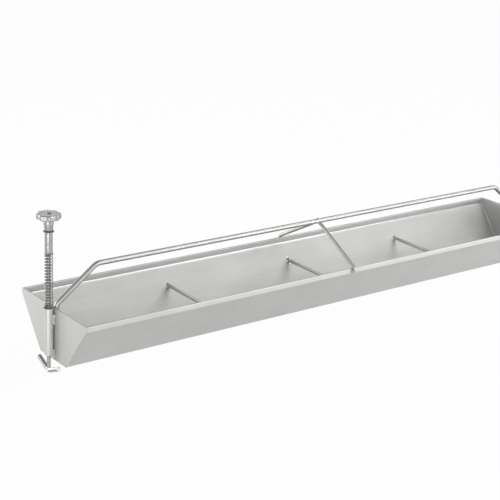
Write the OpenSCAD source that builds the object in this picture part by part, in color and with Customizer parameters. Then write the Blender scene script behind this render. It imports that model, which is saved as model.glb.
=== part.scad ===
// Piglet feeding trough: a folded stainless trough with four feeding places, a guard bar over its
// middle, and a sprung turn-hook clamp at each end that holds it down on a slatted floor.
// Origin: centre of the trough's flat bottom. +X runs along the trough, +Z points up. Millimetres.

/* [Trough] */
// Length over both end plates
trough_len = 1000; // [600:10:1500]
// Width over the two rims
trough_w = 188; // [170:1:240]
// Width of the flat bottom
bottom_w = 76; // [60:1:100]
// Height of the rims above the bottom
trough_h = 82; // [70:1:100]
// Height of the upright part of each rim
rim_h = 10; // [9:0.5:14]
// Thickness of the trough's sheet
sheet_t = 1.5; // [1:0.1:2]
// Inside radius of the folds
fold_r = 3; // [1:0.5:4]
// Depth of the hem that is folded down outside each rim
hem_h = 8; // [5:0.5:8.5]
// Gap left inside the closed hem
hem_gap = 0.4; // [0.2:0.1:0.8]
// Thickness of the end plates
end_t = 2; // [1.5:0.5:4]
// Radius on the upper corners of the end plates
end_corner_r = 2; // [1:0.5:5]

/* [Divider bars] */
// Diameter of the divider bars
divider_d = 6; // [4:0.5:8]
// Height of the divider bars' axis above the bottom
divider_z = 46; // [30:1:55]

/* [Guard bar] */
// Diameter of the guard bar
bar_d = 8; // [6:0.5:10]
// Height of the guard bar's axis above the bottom
bar_z = 136.5; // [125:0.5:180]
// Distance from the end plate's outer face to the bar's upper bend
bar_bend_x = 73; // [60:1:110]
// Bend radius on the guard bar's axis
bar_bend_r = 20; // [12:1:25]
// Height above the rim at which the bar turns down into its foot
bar_foot_rise = 3; // [1:0.5:6]
// Radius of that turn on the bar's axis
bar_knee_r = 12; // [8:1:16]
// Length of the foot below the rim, welded inside the end plate
bar_foot_len = 30; // [20:1:45]

/* [Brace] */
// Diameter of the two brace rods
brace_d = 6; // [5:0.5:8]
// Bend radius on the brace rods' axis
brace_bend_r = 4.5; // [4:0.5:5]
// Height above the rim at which a brace rod turns down
brace_rise = 1.2; // [1.2:0.1:3]
// Length of the brace foot below the rim, welded outside the hem
brace_foot_len = 8; // [5:0.5:8]

/* [Guide tube] */
// Outer diameter of the guide tube
tube_d = 13.5; // [12.5:0.5:18]
// Bore of the guide tube
tube_bore = 7; // [6.6:0.1:9]
// Height of the guide tube's lower end above the trough's bottom
tube_foot_z = 9.5; // [4:0.5:20]
// Length of the upper weld between guide tube and end plate
upper_weld_len = 18; // [8:1:24]
// Depth of the upper weld's top end below the tube's top
upper_weld_drop = 9; // [4:1:14]
// Length of the lower weld between guide tube and end plate
lower_weld_len = 9; // [5:1:14]

/* [Spring] */
// Outer diameter of the spring
spring_d = 13; // [12:0.5:16]
// Diameter of the spring wire
wire_d = 1.6; // [1.2:0.1:1.8]
// Length of the relaxed spring
spring_len = 84; // [70:1:110]
// Number of turns, the closed end turns included
spring_turns = 19; // [14:1:20]
// Outer diameter of the washer that the spring stands on
seat_d = 15.5; // [14:0.5:20]
// Thickness of the spring's washer
seat_t = 1.2; // [0.8:0.1:2]

/* [Press sleeve and knob] */
// Outer diameter of the press sleeve
sleeve_d = 11.5; // [10.5:0.5:14]
// Length of the press sleeve
sleeve_len = 31; // [20:1:45]
// Outer diameter of the washer under the knob
thrust_d = 16; // [14:0.5:22]
// Thickness of the washer under the knob
thrust_t = 1.2; // [1:0.1:3]
// Diameter over the knob's lobes
knob_d = 36; // [32:1:50]
// Number of lobes on the knob
knob_lobes = 8; // [6:1:9]
// Radius of one lobe
lobe_r = 4.2; // [3.5:0.1:5]
// Thickness of the knob's lobed head
knob_head_h = 8; // [6:0.5:12]
// Height of the hub below the head
knob_hub_h = 18; // [12:0.5:25]
// Diameter of the hub where it meets the washer
hub_low_d = 11.5; // [9:0.5:14]
// Diameter of the hub under the head
hub_top_d = 14.5; // [12:0.5:20]
// Height over which the hub widens
hub_taper_h = 10; // [4:1:12]

/* [Hook] */
// Diameter of the hook rod
rod_d = 6; // [5:0.1:6.4]
// Diameter of the anchor's bar
anchor_d = 7; // [6:0.5:8]
// Depth of the anchor bar's axis below the trough's bottom
anchor_drop = 15.5; // [15:0.5:20]
// Reach of each anchor arm from the rod's axis
anchor_reach = 29; // [20:1:29]
// Angle at which each arm rises
anchor_lean = 24; // [10:1:24]
// Bend radius at the anchor's middle, on its axis
anchor_bend_r = 12; // [8:1:20]
// Chamfer on the ends of the arms
anchor_chamfer = 0.6; // [0.2:0.1:1.2]

/* [Hidden] */
$fn = 64;

// Clearances
weld_gap = 0.15;      // bar or tube beside the plate that it is welded to
cope_gap = 0.05;      // coped rod end against the round bar it is welded to
play = 0.1;           // flat faces of pieces that move against each other
thread_gap = 0.05;    // hook rod in the knob's tapped bore
slide_gap = 0.5;      // hook rod in the loose sleeve and washers
cut = 1;              // how far a cutting shape runs past the face it opens
left = -1;
right = 1;

// Trough section
place_count = 4;
fold_steps = 8;
hem_r = (sheet_t + hem_gap) / 2;
rim_y = trough_w / 2 - 1.5 * sheet_t - hem_gap;
hem_y = trough_w / 2 - sheet_t / 2;
hem_top_z = trough_h - sheet_t / 2 - hem_r;
rim_fold_z = trough_h - rim_h;
panel_lean = atan2(rim_y + sheet_t / 2 - bottom_w / 2, rim_fold_z);
floor_fold_y = bottom_w / 2 - sheet_t / 2 * tan((90 - panel_lean) / 2);
shell_len = trough_len - 2 * end_t;

// Guard bar and brace
bar_foot_x = trough_len / 2 - end_t - weld_gap - bar_d / 2;
bar_bend_at = trough_len / 2 - bar_bend_x;
brace_foot_y = trough_w / 2 + weld_gap + brace_d / 2;
brace_knee_z = trough_h + brace_rise;
bend_rings = 8;
bar_sides = 24;
bead_r = 1.8;
bead_sink = 0.6;
tube_weld_y = 0.7;    // how far from the tube's axis its welds run, in tube radii

// Clamp, measured from its own axis and the trough's bottom
clamp_x = trough_len / 2 + weld_gap + tube_d / 2;
spring_foot_z = trough_h + seat_t;
sleeve_foot_z = spring_foot_z + spring_len;
thrust_z = sleeve_foot_z + sleeve_len;
knob_z = thrust_z + thrust_t + play;
knob_head_z = knob_z + knob_hub_h;
knob_top_z = knob_head_z + knob_head_h;
knob_dish_d = 9;
knob_dish_h = 1.6;
knob_edge_r = 1.5;
valley_fill = 0.45;   // how far the head's core stands out past the lobes' ring, in lobe radii
rod_recess = 0.4;     // the rod's top end below the floor of the knob's dish
rod_top_z = knob_top_z - knob_dish_h - rod_recess;
washer_bore = rod_d + 2 * slide_gap;

// Spring
spring_r = (spring_d - wire_d) / 2;
wire_sides = 6;
turn_rings = 8;
end_gap = 0.5;
coil_h = spring_len - wire_d - 2 * play;
end_pitch = wire_d + end_gap;
open_pitch = (coil_h - 2 * end_pitch) / (spring_turns - 2);

function unit(v) = v / norm(v);
function turned(v, a) = [v.x * cos(a) - v.y * sin(a), v.x * sin(a) + v.y * cos(a)];
function bend_angle(a, b, c) = acos(unit(b - a) * unit(c - b));
function bend_start(a, b, c, r) = b - unit(b - a) * r * tan(bend_angle(a, b, c) / 2);
function bend_end(a, b, c, r) = b + unit(c - b) * r * tan(bend_angle(a, b, c) / 2);
function bend_centre(a, b, c, r) =
    b + unit(unit(c - b) - unit(b - a)) * r / cos(bend_angle(a, b, c) / 2);

// One face of a fold of the sheet's middle line at the corner b, at the distance off towards the
// inside of the trough
function fold_face(a, b, c, off) =
    let (r = fold_r + sheet_t / 2,
         m = bend_centre(a, b, c, r),
         from = unit(bend_start(a, b, c, r) - m) * (r - off))
    [for (i = [0:fold_steps]) m + turned(from, -bend_angle(a, b, c) * i / fold_steps)];

// One face of the folded sheet on the +Y side, from the hem's free edge over the rim and down the
// panel to the bottom; off is half the sheet on its inner face and minus half on its outer face
function sheet_face(off) =
    let (over = [hem_y - hem_r, hem_top_z],
         top = [rim_y, hem_top_z],
         rim = [rim_y, rim_fold_z + sheet_t / 2 * tan(panel_lean / 2)],
         foot = [floor_fold_y, sheet_t / 2],
         middle = [0, sheet_t / 2])
    concat(
        [[hem_y + off, trough_h - hem_h]],
        [for (i = [0:2 * fold_steps]) over + turned([hem_r + off, 0], 90 * i / fold_steps)],
        fold_face(top, rim, foot, off),
        fold_face(rim, foot, middle, off));

function reversed(points) = [for (i = [len(points) - 1:-1:0]) points[i]];
function mirrored(points) = [for (p = points) [-p.x, p.y]];

// Half width inside the trough at the height z
function inside_y(z) =
    bottom_w / 2 + z * tan(panel_lean) - sheet_t / cos(panel_lean);

// Points and directions along one bend of a bar at the corner b
function bend_steps(a, b, c, r) =
    let (m = bend_centre(a, b, c, r),
         out = bend_start(a, b, c, r) - m,
         on = unit(b - a) * r)
    [for (i = [0:bend_rings])
        let (t = bend_angle(a, b, c) * i / bend_rings)
        [m + out * cos(t) + on * sin(t), unit(on * cos(t) - out * sin(t))]];

// Rings of a round bar along a line of corners, bent at each inner corner at its radius in radii
function bar_rings(corners, d, radii) =
    let (last = len(corners) - 1,
         flat = unit(cross(corners[1] - corners[0], corners[2] - corners[1])),
         path = concat(
            [[corners[0], unit(corners[1] - corners[0])]],
            [for (i = [1:last - 1])
                each bend_steps(corners[i - 1], corners[i], corners[i + 1], radii[i - 1])],
            [[corners[last], unit(corners[last] - corners[last - 1])]]))
    [for (p = path)
        let (side = cross(flat, p[1]))
        [for (k = [0:bar_sides - 1])
            p[0] + d / 2 * (side * cos(360 * k / bar_sides) + flat * sin(360 * k / bar_sides))]];

// The end ring of a bar and the ring inside it, set for a chamfer of the size c
function eased(end, next, c) =
    let (ones = [for (p = end) 1],
         m = ones * end / len(end),
         on = unit(ones * next / len(next) - m) * c)
    [[for (p = end) p - unit(p - m) * c], [for (p = end) p + on]];
function chamfered(rings, c) =
    let (last = len(rings) - 1,
         foot = eased(rings[0], rings[1], c),
         head = eased(rings[last], rings[last - 1], c))
    concat(foot, [for (i = [1:last - 1]) rings[i]], [head[1], head[0]]);

// Rings of the anchor's bar: bent at its middle, with two straight arms that rise to their ends
function anchor_rings(d) =
    let (low = -anchor_drop - anchor_bend_r * (1 / cos(anchor_lean) - 1),
         high = low + anchor_reach * tan(anchor_lean))
    bar_rings([[0, -anchor_reach, high], [0, 0, low], [0, anchor_reach, high]], d, [anchor_bend_r]);

// Middle line of the spring: closed end turns and evenly open turns between them
function coil_z(turn) =
    turn < 1 ? end_pitch * turn
    : turn > spring_turns - 1 ? coil_h - end_pitch * (spring_turns - turn)
    : end_pitch + open_pitch * (turn - 1);
function coil_point(turn) =
    [spring_r * cos(360 * turn), spring_r * sin(360 * turn), coil_z(turn)];
function coil_ring(turn) =
    let (out = [cos(360 * turn), sin(360 * turn), 0],
         slope = atan2(open_pitch, 2 * PI * spring_r),
         up = [sin(slope) * sin(360 * turn), -sin(slope) * cos(360 * turn), cos(slope)])
    [for (k = [0:wire_sides - 1])
        coil_point(turn) + wire_d / 2
            * (up * cos(360 * k / wire_sides) + out * sin(360 * k / wire_sides))];
function coil_gap() =
    min([for (i = [0:turn_rings * (spring_turns - 1)])
        for (k = [turn_rings - 1:turn_rings + 1])
            if (i + k <= turn_rings * spring_turns)
                norm(coil_point((i + k) / turn_rings) - coil_point(i / turn_rings)) - wire_d]);

// A solid skinned over rings of equally many points, each ring running round the way it goes
module swept(rings) {
    n = len(rings[0]);
    last = (len(rings) - 1) * n;
    walls = [for (i = [0:len(rings) - 2], k = [0:n - 1])
        let (a = i * n + k, b = i * n + (k + 1) % n)
        each [[a, a + n, b], [b, a + n, b + n]]];
    caps = [for (k = [1:n - 2]) each [[0, k, k + 1], [last, last + k + 1, last + k]]];
    polyhedron([for (r = rings) each r], concat(walls, caps));
}

// A rounded weld bead of the length len, standing on the point where it is called
module bead(len) {
    cylinder(r = bead_r, h = len, $fn = 32);
    sphere(r = bead_r, $fn = 32);
    translate([0, 0, len]) sphere(r = bead_r, $fn = 32);
}

module washer(d, bore, t) {
    difference() {
        cylinder(d = d, h = t);
        translate([0, 0, -cut]) cylinder(d = bore, h = t + 2 * cut);
    }
}

// Puts a piece of the clamp on its axis at one end; the right clamp is the left one turned round
module at_clamp(side) {
    rotate([0, 0, side == left ? 0 : 180]) translate([-clamp_x, 0, 0]) children();
}

// The trough: one sheet folded up into a flat bottom, two leaning panels and two hemmed rims
module trough_shell() {
    inner = sheet_face(sheet_t / 2);
    outer = sheet_face(-sheet_t / 2);
    color("gainsboro")
        rotate([90, 0, 90])
        translate([0, 0, -shell_len / 2])
        linear_extrude(shell_len)
        polygon(concat(inner, reversed(mirrored(inner)), mirrored(outer), reversed(outer)));
}

// An end plate, cut to the trough's outline
module end_plate(side) {
    w = trough_w / 2;
    corner = [for (i = [0:fold_steps])
        [w - end_corner_r, trough_h - end_corner_r] + turned([end_corner_r, 0], 90 * i / fold_steps)];
    half = concat([[bottom_w / 2, 0], [rim_y + sheet_t / 2, rim_fold_z], [w, trough_h - hem_h]],
        corner);
    color("gainsboro")
        translate([side * (trough_len - end_t) / 2, 0, 0])
        rotate([90, 0, 90])
        translate([0, 0, -end_t / 2])
        linear_extrude(end_t)
        polygon(concat(half, reversed(mirrored(half))));
}

// A divider bar across the trough, its ends cut to the leaning panels
module divider_bar(place) {
    x = -shell_len / 2 + place * shell_len / place_count;
    low = divider_z - divider_d;
    high = divider_z + divider_d;
    color("silver")
        intersection() {
            translate([x, 0, divider_z]) rotate([90, 0, 0])
                cylinder(d = divider_d, h = trough_w, center = true);
            rotate([90, 0, 90]) translate([0, 0, x - divider_d])
                linear_extrude(2 * divider_d)
                polygon([[inside_y(low), low], [inside_y(high), high],
                         [-inside_y(high), high], [-inside_y(low), low]]);
        }
}

// The guard bar, bent down at both ends to a foot inside each end plate
module guard_bar() {
    foot_z = trough_h - bar_foot_len;
    knee_z = trough_h + bar_foot_rise;
    color("silver") {
        swept(bar_rings([[-bar_foot_x, 0, foot_z], [-bar_foot_x, 0, knee_z],
                         [-bar_bend_at, 0, bar_z], [bar_bend_at, 0, bar_z],
                         [bar_foot_x, 0, knee_z], [bar_foot_x, 0, foot_z]],
            bar_d, [bar_knee_r, bar_bend_r, bar_bend_r, bar_knee_r]));
        for (side = [left, right], y = [-1, 1])
            intersection() {
                translate([side * (trough_len / 2 - end_t - bead_sink), y * (bar_d / 2 - bead_sink),
                           foot_z + bead_r])
                    bead(bar_foot_len - 4 * bead_r);
                cube([trough_len - 2 * end_t, trough_w, 2 * trough_h], center = true);
            }
    }
}

// One of the two brace rods between the guard bar and a rim; side is the side of the trough
module brace_rod(side) {
    color("silver") {
        difference() {
            swept(bar_rings([[0, 0, bar_z], [0, side * brace_foot_y, brace_knee_z],
                             [0, side * brace_foot_y, trough_h - brace_foot_len]],
                brace_d, [brace_bend_r]));
            translate([0, 0, bar_z]) rotate([0, 90, 0])
                cylinder(d = bar_d + 2 * cope_gap, h = 4 * bar_d, center = true);
        }
        for (x = [-1, 1])
            intersection() {
                translate([x * (brace_d / 2 - bead_sink), side * (trough_w / 2 + bead_sink),
                           trough_h - brace_foot_len + bead_r / 2])
                    bead(brace_foot_len - 2 * bead_r);
                translate([0, side * trough_w, 0])
                    cube([4 * brace_d, trough_w, 4 * trough_h], center = true);
            }
    }
}

// The guide tube, with the two welds on each side that hold it to the end plate
module guide_tube(side) {
    wall = tube_d / 2;
    welds = [[tube_foot_z + bead_r, lower_weld_len - 2 * bead_r],
             [trough_h - upper_weld_drop - upper_weld_len + bead_r, upper_weld_len - 2 * bead_r]];
    color("silver")
        at_clamp(side)
        difference() {
            union() {
                translate([0, 0, tube_foot_z]) cylinder(d = tube_d, h = trough_h - tube_foot_z);
                for (w = welds, y = [-1, 1])
                    translate([wall + weld_gap - bead_sink, y * wall * tube_weld_y, w[0]]) bead(w[1]);
            }
            translate([0, 0, tube_foot_z - cut]) cylinder(d = tube_bore, h = trough_h);
            translate([wall + weld_gap, -tube_d, 0]) cube([tube_d, 2 * tube_d, trough_h]);
        }
}

module spring_seat(side) {
    color("dimgray") at_clamp(side) translate([0, 0, trough_h])
        washer(seat_d, washer_bore, seat_t);
}

// The spring as one unbroken wire
module spring(side) {
    color("darkgray") at_clamp(side) translate([0, 0, spring_foot_z + play + wire_d / 2])
        swept([for (i = [0:turn_rings * spring_turns]) coil_ring(i / turn_rings)]);
}

module press_sleeve(side) {
    color("gainsboro") at_clamp(side) translate([0, 0, sleeve_foot_z])
        washer(sleeve_d, washer_bore, sleeve_len);
}

module thrust_washer(side) {
    color("dimgray") at_clamp(side) translate([0, 0, thrust_z])
        washer(thrust_d, washer_bore, thrust_t);
}

// Outline of the knob's head: a round core with a ring of lobes
module knob_outline() {
    lobe_ring = knob_d / 2 - lobe_r;
    circle(r = lobe_ring + lobe_r * valley_fill);
    for (i = [0:knob_lobes - 1])
        rotate(360 * (i + 0.5) / knob_lobes) translate([lobe_ring, 0]) circle(r = lobe_r, $fn = 32);
}

// The star knob: a lobed head on a tapered hub, tapped for the hook rod
module star_knob(side) {
    edge_x = knob_d / 2 - knob_edge_r;
    lower = [for (i = [0:fold_steps])
        [edge_x, knob_edge_r] + turned([0, -knob_edge_r], 90 * i / fold_steps)];
    upper = [for (i = [0:fold_steps])
        [edge_x, knob_head_h - knob_edge_r] + turned([knob_edge_r, 0], 90 * i / fold_steps)];
    hub_end = knob_hub_h + knob_head_h / 2;
    hub = [[0, 0], [hub_low_d / 2, 0], [hub_top_d / 2, hub_taper_h], [hub_top_d / 2, hub_end],
        [0, hub_end]];
    color("lightsteelblue")
        at_clamp(side)
        difference() {
            union() {
                translate([0, 0, knob_head_z]) intersection() {
                    rotate_extrude() polygon(concat([[0, 0]], lower, upper, [[0, knob_head_h]]));
                    linear_extrude(knob_head_h) knob_outline();
                }
                translate([0, 0, knob_z]) rotate_extrude() polygon(hub);
            }
            translate([0, 0, knob_z - cut]) cylinder(d = rod_d + 2 * thread_gap, h = knob_top_z);
            translate([0, 0, knob_top_z - knob_dish_h]) cylinder(d = knob_dish_d, h = knob_head_h);
        }
}

// The hook rod, its lower end coped to the anchor's bar
module hook_rod(side) {
    color("silver") at_clamp(side) difference() {
        translate([0, 0, -anchor_drop]) cylinder(d = rod_d, h = rod_top_z + anchor_drop);
        swept(anchor_rings(anchor_d + 2 * cope_gap));
    }
}

// The anchor, a bar bent into two arms that catch under the floor
module anchor(side) {
    color("silver") at_clamp(side) swept(chamfered(anchor_rings(anchor_d), anchor_chamfer));
}

echo(spring_least_gap = coil_gap());

trough_shell();
end_plate(left);  // end_plate_left
end_plate(right);  // end_plate_right
divider_bar(1);  // divider_bar_left
divider_bar(2);  // divider_bar_middle
divider_bar(3);  // divider_bar_right
guard_bar();
brace_rod(-1);  // brace_rod_front
brace_rod(1);  // brace_rod_back
guide_tube(left);  // guide_tube_left
guide_tube(right);  // guide_tube_right
spring_seat(left);  // spring_seat_left
spring_seat(right);  // spring_seat_right
spring(left);  // spring_left
spring(right);  // spring_right
press_sleeve(left);  // press_sleeve_left
press_sleeve(right);  // press_sleeve_right
thrust_washer(left);  // thrust_washer_left
thrust_washer(right);  // thrust_washer_right
star_knob(left);  // star_knob_left
star_knob(right);  // star_knob_right
hook_rod(left);  // hook_rod_left
hook_rod(right);  // hook_rod_right
anchor(left);  // anchor_left
anchor(right);  // anchor_right
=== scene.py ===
"""The looks of a piglet feeding trough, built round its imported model.

Lengths are millimetres and angles radians, unless a name ends in _m or _deg; shapes are worked out in
millimetres and put into meshes in metres. +X runs along the trough, +Z points up.
"""
import math

import bpy
import numpy as np
from mathutils import Matrix, Vector


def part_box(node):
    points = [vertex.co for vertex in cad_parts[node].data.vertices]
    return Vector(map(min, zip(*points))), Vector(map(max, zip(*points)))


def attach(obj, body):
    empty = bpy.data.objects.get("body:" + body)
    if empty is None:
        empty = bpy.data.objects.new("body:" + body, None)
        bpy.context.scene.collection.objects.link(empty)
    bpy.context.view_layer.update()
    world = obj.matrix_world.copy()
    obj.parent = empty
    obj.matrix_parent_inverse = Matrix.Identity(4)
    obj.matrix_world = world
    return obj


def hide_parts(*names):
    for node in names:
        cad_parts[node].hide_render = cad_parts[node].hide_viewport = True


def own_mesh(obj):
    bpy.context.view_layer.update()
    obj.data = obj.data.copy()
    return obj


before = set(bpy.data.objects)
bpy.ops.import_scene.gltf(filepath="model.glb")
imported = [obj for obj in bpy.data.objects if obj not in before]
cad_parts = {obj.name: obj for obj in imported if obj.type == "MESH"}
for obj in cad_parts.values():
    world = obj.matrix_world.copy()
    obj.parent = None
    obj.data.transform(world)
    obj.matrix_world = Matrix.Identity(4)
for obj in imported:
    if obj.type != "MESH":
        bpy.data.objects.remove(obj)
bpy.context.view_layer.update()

MM = 0.001
TURN = 2 * math.pi


def box_mm(node):
    """Lowest and highest corner of a CAD node in millimetres."""
    return [np.array(corner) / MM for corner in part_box(node)]


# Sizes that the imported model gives
shell_high = box_mm("trough_shell")[1]
plate_low, plate_high = box_mm("end_plate_right")
divider_low, divider_high = box_mm("divider_bar_left")
guard_high = box_mm("guard_bar")[1]
tube_low = box_mm("guide_tube_right")[0]
seat_low, seat_high = box_mm("spring_seat_right")
sleeve_low, sleeve_high = box_mm("press_sleeve_right")
thrust_low, thrust_high = box_mm("thrust_washer_right")
knob_low, knob_high = box_mm("star_knob_right")
rod_low, rod_high = box_mm("hook_rod_right")
anchor_low = box_mm("anchor_right")[0]

shell_end = shell_high[0]
plate_out = plate_high[0]
half_w = plate_high[1]
trough_h = plate_high[2]
clamp_x = (sleeve_low[0] + sleeve_high[0]) / 2
divider_d = divider_high[0] - divider_low[0]
divider_z = (divider_high[2] + divider_low[2]) / 2
sleeve_r = (sleeve_high[0] - sleeve_low[0]) / 2
thrust_r = (thrust_high[0] - thrust_low[0]) / 2
seat_r = (seat_high[0] - seat_low[0]) / 2
rod_r = (rod_high[0] - rod_low[0]) / 2

# Sizes of the folded sheet
sheet_t = 1.5
bottom_w = 76
rim_h = 10
fold_r = 3
hem_h = 8
hem_gap = 0.4
plate_corner_r = 2
plate_nick_r = 0.5

# Sizes of the bars
bar_d = 8
bar_z = guard_high[2] - bar_d / 2
bar_bend_x = plate_out - 73
bar_bend_r = 20
weld_gap = 0.15
bar_foot_x = plate_low[0] - weld_gap - bar_d / 2
bar_foot_z = trough_h - 30
bar_knee_z = trough_h + 3
bar_knee_r = 12
brace_d = 6
brace_foot_y = half_w + weld_gap + brace_d / 2
brace_knee_z = trough_h + 1.2
brace_foot_z = trough_h - 8
brace_bend_r = 4.5

# Sizes of the clamp
tube_r = 6.75
bore_r = 3.5
knob_r = 18
knob_lobes = 8
lobe_r = 4.2
knob_core_share = 0.58
lobe_sharpness = 1.6
knob_head_h = 8
hub_low_r = 5.75
hub_top_r = 7.25
hub_taper_h = 10
dish_r = 4.5
dish_h = 1.6
spring_r = 5.7
wire_r = 0.8
spring_turns = 19
spring_end_pitch = 2.1
spring_play = 0.1
anchor_r = 3.5
anchor_bend_r = 12
anchor_lean = math.radians(24)
anchor_reach = 29
anchor_axis_z = anchor_low[2] + anchor_r

# Rounding of edges: deburred plate, turned ends, punched washers and cast rims
plate_edge = 0.35
turned_edge = 0.4
punched_edge = 0.3
cast_edge = 1.5
cast_neck_r = 2.5
sawn_edge = 0.6
hidden_edge = 0.1
rod_edge = 0.8

# Radii of the weld beads, depths of the collar welds, and how deep a bead sinks into what it holds
seam_r = 1.1
hem_bead_r = 0.9
brace_bead_r = 1.5
bar_bead_r = 1.7
divider_collar = 2.0
brace_collar = 1.8
anchor_collar = 1.3
bead_sink = 0.5

# Section of the folded sheet's middle line
hem_r = (sheet_t + hem_gap) / 2
rim_y = half_w - 1.5 * sheet_t - hem_gap
hem_y = half_w - sheet_t / 2
rim_fold_z = trough_h - rim_h
panel_lean = math.atan2(rim_y + sheet_t / 2 - bottom_w / 2, rim_fold_z)
floor_fold_y = bottom_w / 2 - sheet_t / 2 * math.tan((math.pi / 2 - panel_lean) / 2)


def unit(v):
    """Each row of v scaled to the length 1."""
    return v / np.linalg.norm(v, axis=-1, keepdims=True)


def smooth(t):
    """0 below 0, 1 above 1, and 3t^2 - 2t^3 between."""
    t = np.clip(t, 0, 1)
    return t * t * (3 - 2 * t)


def set_out(points, ways, spacing):
    """The line through the points again, in even steps of about the spacing."""
    run = np.concatenate([[0], np.cumsum(np.linalg.norm(np.diff(points, axis=0), axis=1))])
    even = np.linspace(0, run[-1], int(run[-1] / spacing) + 1)
    points = np.stack([np.interp(even, run, column) for column in points.T], 1)
    ways = np.stack([np.interp(even, run, column) for column in ways.T], 1)
    return points, unit(ways)


def bent_line(corners, radii, arc_steps=24, straight=2):
    """Points and directions along a flat line of corners. Each inner corner b becomes an arc of the
    radius r: it leaves the leg before b at r tan(bend/2) and turns round its centre by the bend. Each
    straight leg has the given number of points, spread evenly."""
    corners = [np.array(c, float) for c in corners]
    points, ways = [], []
    start = corners[0]
    for a, b, c, r in zip(corners, corners[1:], corners[2:], radii):
        before, after = unit(b - a), unit(c - b)
        bend = math.acos(float(np.clip(before @ after, -1, 1)))
        touch = b - before * r * math.tan(bend / 2)
        inward = unit(after - before * (before @ after))
        leg = np.linspace(0, 1, straight)[:-1, None]
        t = np.linspace(0, bend, arc_steps + 1)[:, None]
        points += [start + (touch - start) * leg,
                   touch + r * (before * np.sin(t) + inward * (1 - np.cos(t)))]
        ways += [np.repeat(before[None], straight - 1, 0), before * np.cos(t) + inward * np.sin(t)]
        start = points[-1][-1]
    leg = np.linspace(0, 1, straight)[1 if points else 0:, None]
    points.append(start + (corners[-1] - start) * leg)
    ways.append(np.repeat(unit(corners[-1] - corners[-2])[None], len(leg), 0))
    return np.concatenate(points), np.concatenate(ways)


def eased_loop(corners, radii, steps=6):
    """A closed outline in a plane whose corners are rounded by arcs, as bent_line rounds them."""
    corners = [np.array(c, float) for c in corners]
    arcs = []
    for k, (b, r) in enumerate(zip(corners, radii)):
        a, c = corners[k - 1], corners[(k + 1) % len(corners)]
        line = bent_line([a, b, c], [r], steps)[0]
        arcs.append(line[1:-1])
    return np.concatenate(arcs)


def surface(points, joined=False, caps="flat"):
    """A closed surface on a grid of points, its rows along it and its columns round it: each four
    neighbours make a face. The last row is joined to the first, or both are shut, by one flat face
    or by a strip between opposite columns. Its UV runs along and round it in metres."""
    n, m = points.shape[:2]
    i, j = np.meshgrid(np.arange(n if joined else n - 1), np.arange(m), indexing="ij")
    on, beside = (i + 1) % n, (j + 1) % m
    quads = np.stack([i * m + j, i * m + beside, on * m + beside, on * m + j], -1).reshape(-1, 4)
    steps = np.linalg.norm(np.roll(points, -1, 0) - points, axis=2).mean(1)
    along = np.concatenate([[0], np.cumsum(steps)]) * MM
    ring = points[n // 2]
    around = np.concatenate([[0], np.cumsum(np.linalg.norm(np.roll(ring, -1, 0) - ring, axis=1))]) * MM
    u = np.stack([along[i], along[i], along[i + 1], along[i + 1]], -1)
    v = np.stack([around[j], around[j + 1], around[j + 1], around[j]], -1)
    uv = np.stack([u, v], -1).reshape(-1, 4, 2)
    corners = points.reshape(-1, 3)
    a, b, c, d = (corners[quads[:, k]] for k in range(4))
    middle = corners.mean(0)
    volume = np.einsum("ij,ij->", np.cross(a - middle, b - middle), c - middle)
    volume += np.einsum("ij,ij->", np.cross(a - middle, c - middle), d - middle)
    faces = quads.tolist()
    if not joined:
        first, last = np.arange(m), np.arange(m) + (n - 1) * m
        if caps == "flat":
            ends = [first[::-1].tolist(), last.tolist()]
        else:
            k = np.arange(m // 2 - 1)
            strip = np.stack([k, m - 1 - k, m - 2 - k, k + 1], -1)
            ends = strip.tolist() + (strip[:, ::-1] + (n - 1) * m).tolist()
        faces += ends
        uv = np.concatenate([uv.reshape(-1, 2), np.zeros((sum(len(f) for f in ends), 2))])
    uv = uv.reshape(-1, 2)
    if volume < 0:
        counts = np.array([len(f) for f in faces])
        starts = np.cumsum(counts) - counts
        uv = np.concatenate([uv[s:s + c][::-1] for s, c in zip(starts, counts)])
        faces = [f[::-1] for f in faces]
    return corners, faces, uv


def piece(name, parts, finish, body, node=None, sharp_deg=35):
    """One object made of closed surfaces, with its finish, the body it rides on and the CAD node that it
    stands for."""
    counts = np.cumsum([0] + [len(p[0]) for p in parts])
    vertices = np.concatenate([p[0] for p in parts]) * MM
    faces = [[v + first for v in f] for p, first in zip(parts, counts.tolist()) for f in p[1]]
    mesh = bpy.data.meshes.new(name)
    mesh.from_pydata(vertices.tolist(), [], faces)
    layer = mesh.uv_layers.new(name="along")
    layer.data.foreach_set("uv", np.concatenate([p[2] for p in parts]).ravel())
    mesh.shade_smooth()
    mesh.set_sharp_from_angle(angle=math.radians(sharp_deg))
    mesh.materials.append(finish)
    made = bpy.data.objects.new(name, mesh)
    bpy.context.scene.collection.objects.link(made)
    even = made.modifiers.new("even_shading", "WEIGHTED_NORMAL")
    even.keep_sharp = True
    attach(made, body)
    if node:
        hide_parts(node)
    return made


def rings(points, ways, flat, radii, sides):
    """Circles round a line: at each point the radius times cos and sin along two directions square to
    the way, of which flat is the direction square to the whole line."""
    side = np.cross(flat, ways)
    a = np.linspace(0, TURN, sides, endpoint=False)
    radii = np.broadcast_to(radii, (len(points),))[:, None, None]
    circle = side[:, None] * np.cos(a)[:, None] + np.array(flat) * np.sin(a)[:, None]
    return points[:, None] + radii * circle


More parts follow.
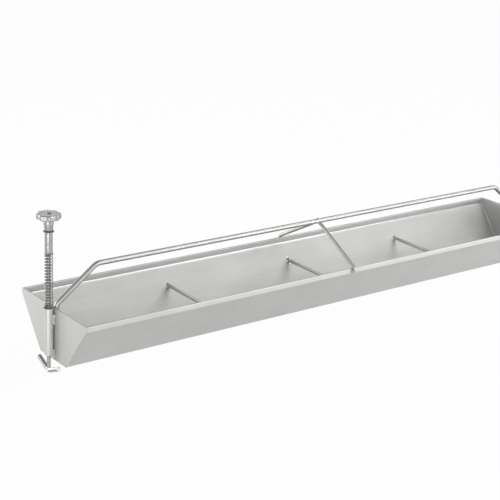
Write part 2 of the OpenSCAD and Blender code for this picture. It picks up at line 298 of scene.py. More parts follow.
def round_bar(corners, bends, d, flat, ends, sides=40, arc_steps=24):
    """A round bar along a bent line, with a quarter round of the size in ends, first and last."""
    points, ways = bent_line(corners, bends, arc_steps)
    t = np.linspace(0, math.pi / 2, 5)[:-1, None]
    first = points[0] + ways[0] * ends[0] * (1 - np.cos(t))
    last = points[-1] - ways[-1] * ends[1] * (1 - np.cos(t[::-1]))
    points = np.concatenate([first, [points[0] + ways[0] * ends[0]], points[1:-1],
                             [points[-1] - ways[-1] * ends[1]], last])
    ways = np.concatenate([[ways[0]] * 5, ways[1:-1], [ways[-1]] * 5])
    radii = np.full(len(points), d / 2)
    radii[:4] -= ends[0] * (1 - np.sin(t[:, 0]))
    radii[-4:] -= ends[1] * (1 - np.sin(t[::-1, 0]))
    return rings(points, ways, flat, radii, sides)


def lathe(x, profile, sides=96):
    """A closed outline of radii and heights turned once round the upright line through (x, 0)."""
    a = np.linspace(0, TURN, sides, endpoint=False)
    r, z = profile[:, 0, None], profile[:, 1, None]
    return np.stack([x + r * np.cos(a), r * np.sin(a), z + 0 * a], -1)


def ring_profile(r_in, r_out, low, high, edge):
    """Outline of a ring or a tube, its four corners rounded."""
    corners = [(r_in, low), (r_out, low), (r_out, high), (r_in, high)]
    return eased_loop(corners, [edge] * 4)


def weld_bead(corners, bends, r, flat, pitch=1.3, ripple=0.09, bow=1.2, wander=0.06, sides=16):
    """A weld bead: a round line that swells and narrows by the share ripple once for each drop of the
    filler, its crests bowed along the way, and by the share wander in a longer wave. It closes to a
    dome at both ends."""
    spacing, tip, long_pitch = 0.25, 0.04, 5.3 * pitch
    points, ways = set_out(*bent_line(corners, bends), spacing)
    run = np.linspace(0, 1, len(points)) * np.linalg.norm(np.diff(points, axis=0), axis=1).sum()
    end = np.minimum(run, run[-1] - run) / r
    dome = np.sqrt(1 - (1 - np.clip(end, tip, 1)) ** 2)[:, None]
    round_it = rings(points, ways, flat, 1.0, sides) - points[:, None]
    a = np.linspace(0, TURN, sides, endpoint=False)
    crest = np.sin(TURN * run[:, None] / pitch + bow * np.cos(2 * a))
    long_wave = np.sin(TURN * run / long_pitch)[:, None]
    size = r * dome * (1 + ripple * crest + wander * long_wave)
    return points[:, None] + round_it * size[..., None]


def weld_collar(centre, way, across, r, size, reach, sides=40):
    """A fillet weld round the foot of a rod: a hollow quarter round from the rod down to the surface it
    stands on, whose depth along the rod reach gives for two coordinates across it. Two waves round it
    make it lumpy."""
    other = np.cross(way, across)
    a = np.linspace(0, TURN, sides, endpoint=False)
    t = np.linspace(0, math.pi / 2, 7)
    r_out = np.concatenate([r + size * (1 - np.sin(t)), [r - size / 2, r - size / 2, r + size]])
    lift = np.concatenate([size * (1 - np.cos(t)), [size, -size / 2, -size / 2]])
    lumps = 1 + 0.05 * np.sin(9 * a) + 0.04 * np.sin(14 * a + 1)
    r_out = r + (r_out[:, None] - r) * np.where(r_out[:, None] > r, lumps, 1)
    p, q = r_out * np.cos(a), r_out * np.sin(a)
    depth = reach(p, q) + lift[:, None]
    return (np.array(centre) + depth[..., None] * np.array(way)
            + p[..., None] * np.array(across) + q[..., None] * other)


def section_line():
    """Points, normals, run and flatness of the folded sheet's middle line in the YZ plane, from the
    front hem's edge over the rim, down, across the bottom and up to the back hem's edge."""
    hem_z = trough_h - sheet_t / 2
    half = [(hem_y, trough_h - hem_h), (hem_y, hem_z), (rim_y, hem_z),
            (rim_y, rim_fold_z + sheet_t / 2 * math.tan(panel_lean / 2)), (floor_fold_y, sheet_t / 2)]
    corners = [(-y, z) for y, z in half] + half[::-1]
    fold = fold_r + sheet_t / 2
    bends = [hem_r, hem_r, fold, fold]
    points, ways = bent_line(corners, bends + bends[::-1], arc_steps=10, straight=15)
    keep = np.concatenate([[True], np.linalg.norm(np.diff(points, axis=0), axis=1) > 1e-6])
    points, ways = points[keep], ways[keep]
    normals = np.stack([-ways[:, 1], ways[:, 0]], 1)
    run = np.concatenate([[0], np.cumsum(np.linalg.norm(np.diff(points, axis=0), axis=1))])
    turning = np.abs(np.gradient(np.unwrap(np.arctan2(ways[:, 1], ways[:, 0]))))
    straight_within = 0.02
    folds = run[turning > straight_within]
    flatness = smooth(np.abs(run[:, None] - folds).min(1) / sheet_ease)
    return points, normals, run, flatness


# Distances over which the sheet's waves die out towards the folds and towards the end plates
sheet_ease = 22
end_ease = 50

# Waves that rolling and welding leave in the flat sheet: height, length along and across, phases
waves = [(0.20, 330, 150, 1.0, 0.5), (0.12, 190, 95, 2.2, 1.7), (0.07, 118, 70, 0.4, 2.9)]


def trough_surface():
    """The sheet: its section, carried along X. The flat stretches stand off by a sum of long waves,
    which die out at the folds and at the end plates."""
    points, normals, run, flatness = section_line()
    a = np.linspace(0, math.pi, 8)[1:-1, None]
    tip = np.array([0, -1])
    last = points[-1] + sheet_t / 2 * (normals[-1] * np.cos(a) + tip * np.sin(a))
    first = points[0] + sheet_t / 2 * (-normals[0] * np.cos(a) + tip * np.sin(a))
    loop = np.concatenate([points + normals * sheet_t / 2, last,
                           (points - normals * sheet_t / 2)[::-1], first])
    spare = np.zeros(len(a))
    normal = np.concatenate([normals, np.zeros((len(a), 2)), normals[::-1], np.zeros((len(a), 2))])
    run = np.concatenate([run, spare, run[::-1], spare])
    flat = np.concatenate([flatness, spare, flatness[::-1], spare])
    rows = 181
    x = np.linspace(-shell_end, shell_end, rows)[:, None]
    off = sum(h * np.cos(TURN * x / l + p) * np.cos(TURN * run / w + q) for h, l, w, p, q in waves)
    off = off * flat * smooth((shell_end - np.abs(x)) / end_ease)
    yz = loop + off[..., None] * normal
    grid = np.concatenate([np.broadcast_to(x[..., None], yz.shape[:2] + (1,)), yz], -1)
    return np.roll(grid, len(a) // 2, 1)


def end_plate_surface(side):
    """A flat plate: the trough's outline with rounded corners, drawn in by a quarter round at each
    face."""
    corners = [(bottom_w / 2, 0), (rim_y + sheet_t / 2, rim_fold_z), (half_w, trough_h - hem_h),
               (half_w, trough_h), (-half_w, trough_h), (-half_w, trough_h - hem_h),
               (-rim_y - sheet_t / 2, rim_fold_z), (-bottom_w / 2, 0)]
    nick, round_r = plate_nick_r, plate_corner_r
    loop = eased_loop(corners, [nick, nick, nick, round_r, round_r, nick, nick, nick])
    way = np.roll(loop, -1, 0) - np.roll(loop, 1, 0)
    normal = unit(np.stack([way[:, 1], -way[:, 0]], 1))
    t = np.linspace(0, math.pi / 2, 5)
    inset = plate_edge * (1 - np.sin(t))
    depth = plate_edge * (1 - np.cos(t))
    inset = np.concatenate([inset, inset[::-1]])
    x = np.concatenate([plate_low[0] + depth, plate_out - depth[::-1]])
    yz = loop - inset[:, None, None] * normal
    return np.concatenate([np.broadcast_to(side * x[:, None, None], yz.shape[:2] + (1,)), yz], -1)


def seam_bead(side):
    """The weld inside the corner between the sheet and an end plate: a round line along the section that
    swells in short ripples and one long wave."""
    spacing, sides, pitch, long_pitch = 0.5, 12, 2.2, 31
    points, normals = section_line()[:2]
    inner = points + normals * (sheet_t / 2)
    inner = inner[np.abs(inner[:, 0]) < rim_y]
    line = np.stack([np.full(len(inner), side * shell_end), inner[:, 0], inner[:, 1]], 1)
    ways = unit(np.gradient(line, axis=0))
    line, ways = set_out(line, ways, spacing)
    run = np.arange(len(line))[:, None] * spacing
    a = np.linspace(0, TURN, sides, endpoint=False)
    swell = 1 + 0.10 * np.sin(TURN * run / pitch + np.cos(a)) + 0.08 * np.sin(TURN * run / long_pitch)
    shape = rings(line, ways, (1, 0, 0), seam_r, sides) - line[:, None]
    return line[:, None] + shape * swell[..., None]


def divider_surface(x):
    """A round bar across the trough: each ring runs out to the leaning panel at its own height, less a
    hair's breadth, so that it doesn't cut the panel."""
    hair = 0.05
    a = np.linspace(0, TURN, 40, endpoint=False)
    px, pz = divider_d / 2 * np.cos(a), divider_d / 2 * np.sin(a)
    share = np.linspace(-1, 1, 9)[:, None]
    end = panel_inside(divider_z + pz) - hair
    return np.stack([x + px + 0 * share, share * end, divider_z + pz + 0 * share], -1)


def panel_inside(z):
    """Half the width inside the trough at the height z."""
    return bottom_w / 2 + z * math.tan(panel_lean) - sheet_t / math.cos(panel_lean)


def divider_collars(x):
    """The small fillet welds at both ends of a divider bar."""
    parts = []
    for side in (-1, 1):
        def reach(_, up):
            return -panel_inside(divider_z + up * side)
        parts.append(weld_collar((x, 0, divider_z), (0, -side, 0), (1, 0, 0), divider_d / 2,
                                 divider_collar, reach))
    return parts


def lobed_outline(a):
    """Radius of the knob's head at the angles a: a soft maximum of a round core and its lobes, each a
    circle whose middle lies on a ring."""
    ring = knob_r - lobe_r
    step = TURN / knob_lobes
    off = (a % step) - step / 2
    lobe = ring * np.cos(off) + np.sqrt(np.maximum(lobe_r ** 2 - (ring * np.sin(off)) ** 2, 0))
    core = ring + knob_core_share * lobe_r
    k = lobe_sharpness
    return np.log(np.exp(k * (lobe - ring)) + np.exp(k * (core - ring))) / k + ring


def quarter(r, z, size, start, stop, steps=7):
    """Radii and heights along an arc of the size round (r, z), from the angle start to stop in
    degrees."""
    t = np.radians(np.linspace(start, stop, steps))
    return r + size * np.cos(t), z + size * np.sin(t)


def knob_surface(x):
    """The star knob. Each ring has a share of the lobed outline and the rest of a plain circle, and lies
    an inset inside it. The rings run from the bore's foot up the bore, over the dish, the top, the
    lobed side, the underside and down the hub."""
    top, foot = knob_high[2], knob_low[2]
    head = top - knob_head_h
    bore = rod_r + 0.05
    fillet, lip, lip_sink = 0.5, 0.6, 0.15
    crown_r, crown_sink = (8, 11), 0.05
    underside_r = 11.5
    stations = []

    def stack(share, offsets, heights):
        for offset, z in zip(np.atleast_1d(offsets), np.atleast_1d(heights)):
            stations.append((share, float(offset), float(z)))

    def add_round(r, z):
        stack(0.0, r, z)

    def add_lobed(inset, z):
        stack(1.0, -np.atleast_1d(inset), z)

    add_round([bore, bore, dish_r - fillet], [foot, top - dish_h, top - dish_h])
    add_round(*quarter(dish_r - fillet, top - dish_h + fillet, fillet, -90, 0))
    add_round(*quarter(dish_r + lip, top - lip_sink - lip, lip, 180, 90))
    add_round(crown_r, [top - crown_sink, top])
    t = np.radians(np.linspace(90, 0, 8))
    add_lobed(cast_edge * (1 - np.cos(t)), top - cast_edge * (1 - np.sin(t)))
    add_lobed(0, head + cast_edge + (knob_head_h - 2 * cast_edge) / 2)
    add_lobed(cast_edge * (1 - np.cos(t[::-1])), head + cast_edge * (1 - np.sin(t[::-1])))
    add_round(underside_r, head)
    add_round(*quarter(hub_top_r + cast_neck_r, head - cast_neck_r, cast_neck_r, 90, 180))
    taper_z = foot + hub_taper_h
    add_round([hub_top_r, hub_top_r - 0.15, hub_low_r + 0.25, hub_low_r],
              [taper_z + 0.8, taper_z - 0.4, foot + 1.2, foot + 0.5])
    add_round([hub_low_r - 0.4, bore + 0.3], [foot, foot])
    share, offset, z = (np.array(column)[:, None] for column in zip(*stations))
    a = np.linspace(0, TURN, 256, endpoint=False)
    r = share * lobed_outline(a) + offset
    return np.stack([x + r * np.cos(a), r * np.sin(a), z + 0 * a], -1)


def spring_surface(x):
    """The spring: a wire carried up a helix, which climbs slowly in its first and last turn and evenly
    between them."""
    steps, sides = 48, 14
    turns = np.linspace(0, spring_turns, spring_turns * steps + 1)
    height = sleeve_low[2] - seat_high[2] - 2 * wire_r - 2 * spring_play
    open_pitch = (height - 2 * spring_end_pitch) / (spring_turns - 2)
    z = np.interp(turns, [0, 1, spring_turns - 1, spring_turns],
                  [0, spring_end_pitch, spring_end_pitch + open_pitch * (spring_turns - 2), height])
    z = z + seat_high[2] + spring_play + wire_r
    a = TURN * turns
    line = np.stack([spring_r * np.cos(a), spring_r * np.sin(a), z], 1)
    ways = unit(np.gradient(line, axis=0))
    out = np.stack([np.cos(a), np.sin(a), 0 * a], 1)
    up = unit(np.cross(out, ways))
    b = np.linspace(0, TURN, sides, endpoint=False)[:, None]
    shape = wire_r * (out[:, None] * np.cos(b) + up[:, None] * np.sin(b))
    return line[:, None] + shape + np.array([x, 0, 0])


def anchor_corners(x):
    """The three corners of the anchor's middle line."""
    low = anchor_axis_z - anchor_bend_r * (1 / math.cos(anchor_lean) - 1)
    high = low + anchor_reach * math.tan(anchor_lean)
    return [(x, -anchor_reach, high), (x, 0, low), (x, anchor_reach, high)]


def anchor_top(p, q):
    """Height of the anchor bar's upper side above its axis at p across it and q along it."""
    lift = anchor_bend_r - np.sqrt(anchor_bend_r ** 2 - q ** 2)
    return lift + np.sqrt(np.maximum(anchor_r ** 2 - p ** 2, 0))


# Materials


# Sockets of a Mix node: two numbers, two colours, and the mixed colour
NUMBER_A, NUMBER_B = 2, 3
COLOUR_A, COLOUR_B, COLOUR_OUT = 6, 7, 2

# Most of the sum of two noises lies between these
NOISE_LOW, NOISE_HIGH = 0.7, 1.3


def colour(hex_code):
    """The linear colour of an sRGB hex value."""
    srgb = np.array([int(hex_code[k:k + 2], 16) for k in (1, 3, 5)]) / 255
    linear = np.where(srgb <= 0.04045, srgb / 12.92, ((srgb + 0.055) / 1.055) ** 2.4)
    return (*linear.tolist(), 1.0)


def add(tree, kind, inputs, **settings):
    """Adds one node with its settings; inputs gives a socket a value, or links another node's output."""
    made = tree.nodes.new(kind)
    for key, value in settings.items():
        setattr(made, key, value)
    for key, value in inputs.items():
        if isinstance(value, bpy.types.NodeSocket):
            tree.links.new(value, made.inputs[key])
        else:
            made.inputs[key].default_value = value
    return made


def steel(name, light, dark, rough, grain_mm, cloud_mm, wave_mm, wave_depth, grain_depth, by="Object"):
    """Bare steel. Its grey drifts between two tones in soft clouds and along its grain, its roughness
    follows the grain, and its relief has long shallow waves under the fine grain. Depths are in
    millimetres too."""
    made = bpy.data.materials.new(name)
    made.use_nodes = True
    tree = made.node_tree
    shader = tree.nodes["Principled BSDF"]
    place = add(tree, "ShaderNodeTexCoord", {}).outputs[by]
    scaled = add(tree, "ShaderNodeMapping",
                 {"Vector": place, "Scale": [1 / (s * MM) for s in grain_mm]})
    grain = add(tree, "ShaderNodeTexNoise",
                {"Vector": scaled.outputs["Vector"], "Scale": 1.0, "Detail": 3.0})
    cloud = add(tree, "ShaderNodeTexNoise",
                {"Vector": place, "Scale": 1 / (cloud_mm * MM), "Detail": 3.0})
    wave = add(tree, "ShaderNodeTexNoise",
               {"Vector": place, "Scale": 1 / (wave_mm * MM), "Detail": 1.0})
    both = add(tree, "ShaderNodeMath", {0: grain.outputs["Fac"], 1: cloud.outputs["Fac"]},
               operation="ADD")
    spread = {"Value": both.outputs[0], "From Min": NOISE_LOW, "From Max": NOISE_HIGH}
    share = add(tree, "ShaderNodeMapRange", spread)
    tone = add(tree, "ShaderNodeMix",
               {"Factor": share.outputs[0], COLOUR_A: colour(light), COLOUR_B: colour(dark)},
               data_type="RGBA")
    gloss = add(tree, "ShaderNodeMapRange", {**spread, "To Min": rough[0], "To Max": rough[1]})
    broad = add(tree, "ShaderNodeBump",
                {"Height": wave.outputs["Fac"], "Strength": 1.0, "Distance": wave_depth * MM})
    fine = add(tree, "ShaderNodeBump",
               {"Height": grain.outputs["Fac"], "Strength": 1.0, "Distance": grain_depth * MM,
                "Normal": broad.outputs["Normal"]})
    tree.links.new(tone.outputs[COLOUR_OUT], shader.inputs["Base Color"])
    tree.links.new(gloss.outputs[0], shader.inputs["Roughness"])
    tree.links.new(fine.outputs["Normal"], shader.inputs["Normal"])
    shader.inputs["Metallic"].default_value = 1.0
    return made


# The burnished band along each upper fold: how far it reaches whole and where it ends, in
# millimetres, and its roughness
BAND_WHOLE, BAND_END = 1.2, 3.5
BAND_ROUGH = 0.34


def cold_rolled_sheet():
    """Stainless sheet, cold rolled and pickled (2B): a soft grey shine, with faint streaks along the
    rolling direction. Real streaks are 0.1 mm wide; here 2 mm, so that they show. The bending tool has
    burnished a band along each upper fold, where the distance across the trough from the fold is
    small."""
    made = steel("cold_rolled_sheet", "#CDCDCC", "#C7C7C6", rough=(0.64, 0.68),
                 grain_mm=(120, 2.0, 2.0), cloud_mm=60, wave_mm=70, wave_depth=0.15, grain_depth=0.002)
    tree = made.node_tree
    shader = tree.nodes["Principled BSDF"]
    rough = shader.inputs["Roughness"].links[0].from_socket
    place = add(tree, "ShaderNodeTexCoord", {}).outputs["Object"]
    across = add(tree, "ShaderNodeVectorMath", {0: place}, operation="ABSOLUTE")
    fold = (0, (rim_y - sheet_t / 2) * MM, rim_fold_z * MM)
    off = add(tree, "ShaderNodeVectorMath", {0: across.outputs[0], 1: fold}, operation="SUBTRACT")
    off = add(tree, "ShaderNodeVectorMath", {0: off.outputs[0], 1: (0, 1, 1)}, operation="MULTIPLY")
    far = add(tree, "ShaderNodeVectorMath", {0: off.outputs[0]}, operation="LENGTH")
    share = add(tree, "ShaderNodeMapRange",
                {"Value": far.outputs["Value"], "From Min": BAND_WHOLE * MM, "From Max": BAND_END * MM},
                interpolation_type="SMOOTHSTEP")
    mixed = add(tree, "ShaderNodeMix", {0: share.outputs[0], NUMBER_A: BAND_ROUGH, NUMBER_B: rough})
    tree.links.new(mixed.outputs[0], shader.inputs["Roughness"])
    return made


def sheared_plate():
    """The same sheet, sheared for the end plates, its streaks across the trough: an even, soft
    shine."""
    return steel("sheared_plate", "#CDCDCB", "#C7C7C5", rough=(0.64, 0.68), grain_mm=(2.0, 80, 2.0),
                 cloud_mm=50, wave_mm=60, wave_depth=0.15, grain_depth=0.002)


def bright_drawn_bar():
    """Stainless bar, drawn through a die and brushed after welding: fine lines along it and a broad,
    soft highlight."""
    return steel("bright_drawn_bar", "#C0C0BE", "#B6B6B4", rough=(0.48, 0.54), grain_mm=(160, 0.8, 1.0),
                 cloud_mm=40, wave_mm=30, wave_depth=0.01, grain_depth=0.001, by="UV")


def drawn_divider():
    """Stainless bar, left as the die polished it, since no brush reaches into the trough: lighter metal
    with a sharp shine, which mirrors the trough's dark and light sides."""
    return steel("drawn_divider", "#DCDCDA", "#CECECC", rough=(0.20, 0.26), grain_mm=(1.0, 120, 1.0),
                 cloud_mm=40, wave_mm=30, wave_depth=0.01, grain_depth=0.001)


def satin_tube():
    """Stainless tube, belt ground round and round: satin, with rings too fine to see one by one."""
    return steel("satin_tube", "#E4E4E3", "#DADAD9", rough=(0.34, 0.42), grain_mm=(12, 12, 0.8),
                 cloud_mm=14, wave_mm=12, wave_depth=0.02, grain_depth=0.004)


def polished_sleeve():
    """Stainless tube, polished on the lathe: a clear highlight between grey sides."""
    return steel("polished_sleeve", "#BCBDBC", "#ACADAC", rough=(0.26, 0.32), grain_mm=(10, 10, 0.5),
                 cloud_mm=9, wave_mm=10, wave_depth=0.01, grain_depth=0.001)


def tig_bead():
    """Weld metal, pickled and brushed: bright ripples with dull hollows."""
    return steel("tig_bead", "#DADAD7", "#B4B4B0", rough=(0.26, 0.42), grain_mm=(1.2, 1.2, 1.2),
                 cloud_mm=6, wave_mm=8, wave_depth=0.05, grain_depth=0.02)


def punched_washer():
    """Steel washer from the press, dulled by handling: dark grey with a soft shine."""
    return steel("punched_washer", "#8E8E8B", "#6C6C6A", rough=(0.34, 0.46), grain_mm=(1.5, 1.5, 1.5),
                 cloud_mm=5, wave_mm=8, wave_depth=0.03, grain_depth=0.004)


def spring_steel():
    """Hard drawn spring wire: grey, with the die's lines along the wire and a narrow shine."""
    return steel("spring_steel", "#A0A09D", "#7C7C79", rough=(0.24, 0.34), grain_mm=(8, 0.5, 1.0),
                 cloud_mm=4, wave_mm=6, wave_depth=0.01, grain_depth=0.002, by="UV")


def tumbled_casting():
    """Investment-cast stainless, tumbled in stones: fine grit, softly shining, with darker hollows."""
    return steel("tumbled_casting", "#C4C5C4", "#A6A7A6", rough=(0.32, 0.40), grain_mm=(0.7, 0.7, 0.7),
                 cloud_mm=7, wave_mm=9, wave_depth=0.05, grain_depth=0.01)


def turned_rod():
    """Stainless rod as drawn, rubbed by the tube it slides in: fine lines along it, half bright."""
    return steel("turned_rod", "#C8C8C6", "#B2B2B0", rough=(0.30, 0.38), grain_mm=(60, 0.6, 1.0),
                 cloud_mm=10, wave_mm=12, wave_depth=0.01, grain_depth=0.001, by="UV")


sheet_finish = cold_rolled_sheet()
plate_finish = sheared_plate()
bar_finish = bright_drawn_bar()
divider_finish = drawn_divider()
tube_finish = satin_tube()
sleeve_finish = polished_sleeve()
bead_finish = tig_bead()
washer_finish = punched_washer()
wire_finish = spring_steel()
knob_finish = tumbled_casting()
rod_finish = turned_rod()

# The trough: folded sheet, end plates, divider bars and their welds
piece("trough_sheet", [surface(trough_surface(), caps="strip")], sheet_finish, "trough",
      "trough_shell")
hem_bead_y = half_w - 0.35
hem_bead_z = (trough_h - 6.5, trough_h - 1.6)
for word, side in (("left", -1), ("right", 1)):
    piece(f"end_sheet_{word}", [surface(end_plate_surface(side))], plate_finish, "trough",
          f"end_plate_{word}")
    seams = [surface(seam_bead(side))]
    for y in (-1, 1):
        line = [(side * shell_end, y * hem_bead_y, z) for z in hem_bead_z]
        seams.append(surface(weld_bead(line, [], hem_bead_r, (0, 1, 0))))
    piece(f"end_seam_{word}", seams, bead_finish, "trough")
for word in ("left", "middle", "right"):
    low, high = box_mm(f"divider_bar_{word}")
    x = (low[0] + high[0]) / 2
    piece(f"divider_{word}", [surface(divider_surface(x))], divider_finish, "trough",
          f"divider_bar_{word}")
    piece(f"divider_welds_{word}", [surface(p, joined=True) for p in divider_collars(x)], bead_finish,
          "trough")

# The guard bar with its feet inside the end plates
guard_corners = [(-bar_foot_x, 0, bar_foot_z), (-bar_foot_x, 0, bar_knee_z), (-bar_bend_x, 0, bar_z),
                 (bar_bend_x, 0, bar_z), (bar_foot_x, 0, bar_knee_z), (bar_foot_x, 0, bar_foot_z)]
guard_bends = [bar_knee_r, bar_bend_r, bar_bend_r, bar_knee_r]
guard = round_bar(guard_corners, guard_bends, bar_d, (0, 1, 0), (sawn_edge, sawn_edge))
piece("guard_rail", [surface(guard)], bar_finish, "trough", "guard_bar")
foot_bead_x = shell_end - 0.6
foot_bead_z = (bar_foot_z + 1, bar_foot_z + 26)
foot_beads = []
for side in (-1, 1):
    for y in (-1, 1):
        line = [(side * foot_bead_x, y * (bar_d / 2 - bead_sink), z) for z in foot_bead_z]
        foot_beads.append(surface(weld_bead(line, [], bar_bead_r, (0, 1, 0))))
piece("guard_rail_welds", foot_beads, bead_finish, "trough")

# The two braces from the guard bar to the rims
brace_bead_y = half_w + 0.5
brace_bead_z = (brace_foot_z + 0.8, trough_h - 2)
for word, side in (("front", -1), ("back", 1)):
    start = np.array([0, 0, bar_z])
    knee = np.array([0, side * brace_foot_y, brace_knee_z])
    way = unit(knee - start)
    corners = [start + way * (bar_d / 2 - 1), knee, (0, side * brace_foot_y, brace_foot_z)]
    brace = round_bar(corners, [brace_bend_r], brace_d, (1, 0, 0), (hidden_edge, sawn_edge))
    piece(f"brace_{word}", [surface(brace)], bar_finish, "trough", f"brace_rod_{word}")
    collar = weld_collar(start, way, (1, 0, 0), brace_d / 2, brace_collar,
                         lambda p, q: np.sqrt(np.maximum((bar_d / 2) ** 2 - q ** 2, 0)))
    beads = [surface(collar, joined=True)]
    for x in (-1, 1):
        line = [(x * (brace_d / 2 - bead_sink), side * brace_bead_y, z) for z in brace_bead_z]
        beads.append(surface(weld_bead(line, [], brace_bead_r, (1, 0, 0))))
    piece(f"brace_welds_{word}", beads, bead_finish, "trough")

# The two clamps
tube_bead_out = 0.9
tube_bead_y = tube_r * 0.72
upper_weld = (trough_h - 26, trough_h - 9)
lower_weld = (tube_low[2] + 0.5, tube_low[2] + 8.5)
for word, side in (("left", -1), ("right", 1)):
    x = side * clamp_x
    tube = lathe(x, ring_profile(bore_r, tube_r, tube_low[2], trough_h, turned_edge))
    piece(f"hook_tube_{word}", [surface(tube, joined=True)], tube_finish, "trough",
          f"guide_tube_{word}")
    beads = []
    for low_z, high_z in (upper_weld, lower_weld):
        for y in (-1, 1):
            at = (side * (plate_out + tube_bead_out), y * tube_bead_y)
            beads.append(surface(weld_bead([(*at, low_z), (*at, high_z)], [], bar_bead_r, (0, 1, 0))))
    piece(f"hook_tube_welds_{word}", beads, bead_finish, "trough")
    seat = lathe(x, ring_profile(bore_r, seat_r, seat_low[2], seat_high[2], punched_edge))
    piece(f"seat_washer_{word}", [surface(seat, joined=True)], washer_finish, "trough",
          f"spring_seat_{word}")
    coil = piece(f"clamp_spring_{word}", [surface(spring_surface(x))], wire_finish, "trough",
                 f"spring_{word}")
    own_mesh(coil)
    sleeve = lathe(x, ring_profile(bore_r, sleeve_r, sleeve_low[2], sleeve_high[2], turned_edge))
    piece(f"sleeve_{word}", [surface(sleeve, joined=True)], sleeve_finish, f"press_{word}",
          f"press_sleeve_{word}")
    washer = lathe(x, ring_profile(bore_r, thrust_r, thrust_low[2], thrust_high[2], punched_edge))
    piece(f"top_washer_{word}", [surface(washer, joined=True)], washer_finish, f"press_{word}",
          f"thrust_washer_{word}")
    piece(f"knob_{word}", [surface(knob_surface(x), joined=True)], knob_finish, f"hook_{word}",
          f"star_knob_{word}", sharp_deg=50)
    stem = round_bar([(x, 0, anchor_axis_z), (x, 0, rod_high[2])], [], 2 * rod_r, (0, 1, 0),
                     (hidden_edge, rod_edge))
    piece(f"hook_stem_{word}", [surface(stem)], rod_finish, f"hook_{word}",
          f"hook_rod_{word}")
    crossbar = round_bar(anchor_corners(x), [anchor_bend_r], 2 * anchor_r, (1, 0, 0),
                         (sawn_edge, sawn_edge))
    piece(f"hook_anchor_{word}", [surface(crossbar)], rod_finish, f"hook_{word}",
          f"anchor_{word}")
    collar = weld_collar((x, 0, anchor_axis_z), (0, 0, 1), (1, 0, 0), rod_r, anchor_collar, anchor_top)
    piece(f"hook_weld_{word}", [surface(collar, joined=True)], bead_finish, f"hook_{word}")

# The floor lies a little below the anchors at the end of their travel. The camera sees it as nearly
# plain white, with a faint shadow in the rest, and the metal mirrors it at half that share.
floor_z = -52.5
floor_half = 4000
FLOOR_WHITE = "#F2F2F1"
FLOOR_SEEN, FLOOR_MIRRORED = 0.965, 0.50
MIRRORED_GLOW = 0.82


def studio_floor():
    """A pale, matt studio floor, mixed with an even glow by a share that hangs on the kind of ray."""
    mesh = bpy.data.meshes.new("floor")
    s, z = floor_half * MM, floor_z * MM
    mesh.from_pydata([(-s, -s, z), (s, -s, z), (s, s, z), (-s, s, z)], [], [(0, 1, 2, 3)])
    made = bpy.data.objects.new("floor", mesh)
    bpy.context.scene.collection.objects.link(made)
    finish = bpy.data.materials.new("pale_floor")
    finish.use_nodes = True
    tree = finish.node_tree
    shader = tree.nodes["Principled BSDF"]
    shader.inputs["Base Color"].default_value = colour(FLOOR_WHITE)
    shader.inputs["Roughness"].default_value = 0.9
    glow = add(tree, "ShaderNodeEmission", {"Color": (1, 1, 1, 1), "Strength": 1.0})
    path = add(tree, "ShaderNodeLightPath", {})
    metal = add(tree, "ShaderNodeMath",
                {0: path.outputs["Is Glossy Ray"], 1: path.outputs["Is Transmission Ray"]},
                operation="MAXIMUM")
    metal = add(tree, "ShaderNodeMath", {0: metal.outputs[0], 1: FLOOR_MIRRORED}, operation="MULTIPLY")
    eye = add(tree, "ShaderNodeMath", {0: path.outputs["Is Camera Ray"], 1: FLOOR_SEEN},
              operation="MULTIPLY")
    bright = add(tree, "ShaderNodeMapRange",
                 {"Value": path.outputs["Is Camera Ray"], "To Min": MIRRORED_GLOW})
    tree.links.new(bright.outputs[0], glow.inputs["Strength"])
    share = add(tree, "ShaderNodeMath", {0: metal.outputs[0], 1: eye.outputs[0]}, operation="MAXIMUM")
    mixed = add(tree, "ShaderNodeMixShader",
                {"Fac": share.outputs[0], 1: shader.outputs[0], 2: glow.outputs[0]})
    tree.links.new(mixed.outputs[0], tree.nodes["Material Output"].inputs["Surface"])
    mesh.materials.append(finish)
    return made


# Strength of the surround: round the horizon at the left and at the right, and overhead
LEFT_GLOW, RIGHT_GLOW, HIGH_GLOW = 1.04, 0.97, 0.20

# Where one strength gives way to another, along a direction of length 1
LEFT_X, RIGHT_X = -0.8, 0.6
LOW_Z, HIGH_Z = 0.3, 0.9


def studio_world():
    """A plain surround, pure white to the camera. Its light falls a little from left to right round the
    horizon and falls softly to another strength overhead."""
    world = bpy.data.worlds.new("studio")
    bpy.context.scene.world = world
    world.use_nodes = True
    tree = world.node_tree
    way = add(tree, "ShaderNodeTexCoord", {}).outputs["Generated"]
    way = add(tree, "ShaderNodeSeparateXYZ", {0: way})
    low = add(tree, "ShaderNodeMapRange",
              {"Value": way.outputs["X"], "From Min": LEFT_X, "From Max": RIGHT_X,
               "To Min": LEFT_GLOW, "To Max": RIGHT_GLOW},
              interpolation_type="SMOOTHSTEP")
    rise = add(tree, "ShaderNodeMapRange",
               {"Value": way.outputs["Z"], "From Min": LOW_Z, "From Max": HIGH_Z},
               interpolation_type="SMOOTHSTEP")
    glow = add(tree, "ShaderNodeMix",
               {0: rise.outputs[0], NUMBER_A: low.outputs[0], NUMBER_B: HIGH_GLOW})
    path = add(tree, "ShaderNodeLightPath", {})
    seen = add(tree, "ShaderNodeMath", {0: path.outputs["Is Camera Ray"], 1: glow.outputs[0]},
               operation="MAXIMUM")
    tree.links.new(seen.outputs[0], tree.nodes["Background"].inputs["Strength"])
    tree.nodes["Background"].inputs["Color"].default_value = (1, 1, 1, 1)


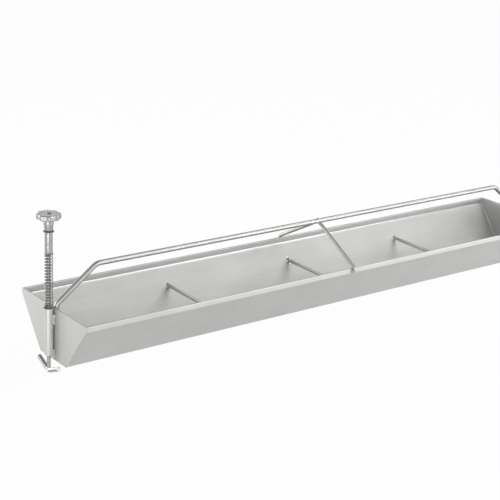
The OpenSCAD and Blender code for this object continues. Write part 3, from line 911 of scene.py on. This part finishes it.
def softbox(name, place_m, aim_m, size_m, watts):
    """A white area lamp that looks from its place at a point."""
    lamp = bpy.data.lights.new(name, "AREA")
    lamp.shape = "RECTANGLE"
    lamp.size, lamp.size_y = size_m
    lamp.energy = watts
    made = bpy.data.objects.new(name, lamp)
    bpy.context.scene.collection.objects.link(made)
    made.location = place_m
    made.rotation_euler = (Vector(aim_m) - Vector(place_m)).to_track_quat("-Z", "Y").to_euler()
    made.visible_camera = False
    return made


# Each lamp: its place, the point that it looks at, its width and height, and its watts
LAMPS = {
    "over_right_light": ((1.0, -0.4, 1.6), (0.2, 0, 0.05), (0.5, 0.6), 5.5),
    "front_high_light": ((0.3, -1.8, 1.5), (0, 0, 0.05), (1.0, 0.9), 5.7),
    "front_right_light": ((1.2, -1.5, 1.1), (0.2, 0, 0.05), (0.9, 0.6), 8.0),
    "fold_line_light": ((1.5, -1.5, 0.45), (0.2, 0.09, 0.07), (2.4, 0.14), 3.8),
    "right_low_light": ((1.85, -1.8, 0.10), (0.2, 0, 0.05), (1.3, 0.3), 7.5),
    "front_low_light": ((0.9, -2.4, 0.20), (-0.1, 0, 0.05), (1.4, 0.5), 8.0),
    "left_low_light": ((-1.97, -1.36, 0.27), (-0.5, 0, 0.15), (0.8, 0.6), 6.3),
    "left_back_light": ((-1.3, 1.6, 0.20), (-0.5, 0, 0.05), (1.4, 0.5), 13.2),
    "clamp_strip_light": ((-0.945, -0.41, 0.03), (-0.507, 0, 0.17), (0.08, 0.14), 0.34),
}

studio_floor()
studio_world()
for lamp_name, lamp_values in LAMPS.items():
    softbox(lamp_name, *lamp_values)

# The camera at the photograph's view
CAMERA_M = (-1.3922, -1.5841, 0.7899)
CAMERA_AZ_DEG, CAMERA_EL_DEG, CAMERA_ROLL_DEG = 38.2993, 18.6416, 2.8211
CAMERA_LENS, CAMERA_SENSOR = 95.6512, 36


def photo_camera():
    """A camera turned from north to the azimuth, tipped down by the elevation and rolled."""
    az, el, roll = (math.radians(v) for v in (CAMERA_AZ_DEG, CAMERA_EL_DEG, CAMERA_ROLL_DEG))
    ahead = Vector((math.sin(az) * math.cos(el), math.cos(az) * math.cos(el), -math.sin(el)))
    right = Vector((math.cos(az), -math.sin(az), 0))
    up = right.cross(ahead)
    rolled_right = right * math.cos(roll) + up * math.sin(roll)
    rolled_up = up * math.cos(roll) - right * math.sin(roll)
    lens = bpy.data.cameras.new("photo_view")
    lens.lens, lens.sensor_width = CAMERA_LENS, CAMERA_SENSOR
    made = bpy.data.objects.new("photo_view", lens)
    bpy.context.scene.collection.objects.link(made)
    turn = Matrix((rolled_right, rolled_up, -ahead)).transposed().to_4x4()
    made.matrix_world = Matrix.Translation(CAMERA_M) @ turn
    bpy.context.scene.camera = made


photo_camera()
bpy.context.scene.view_settings.view_transform = "Standard"
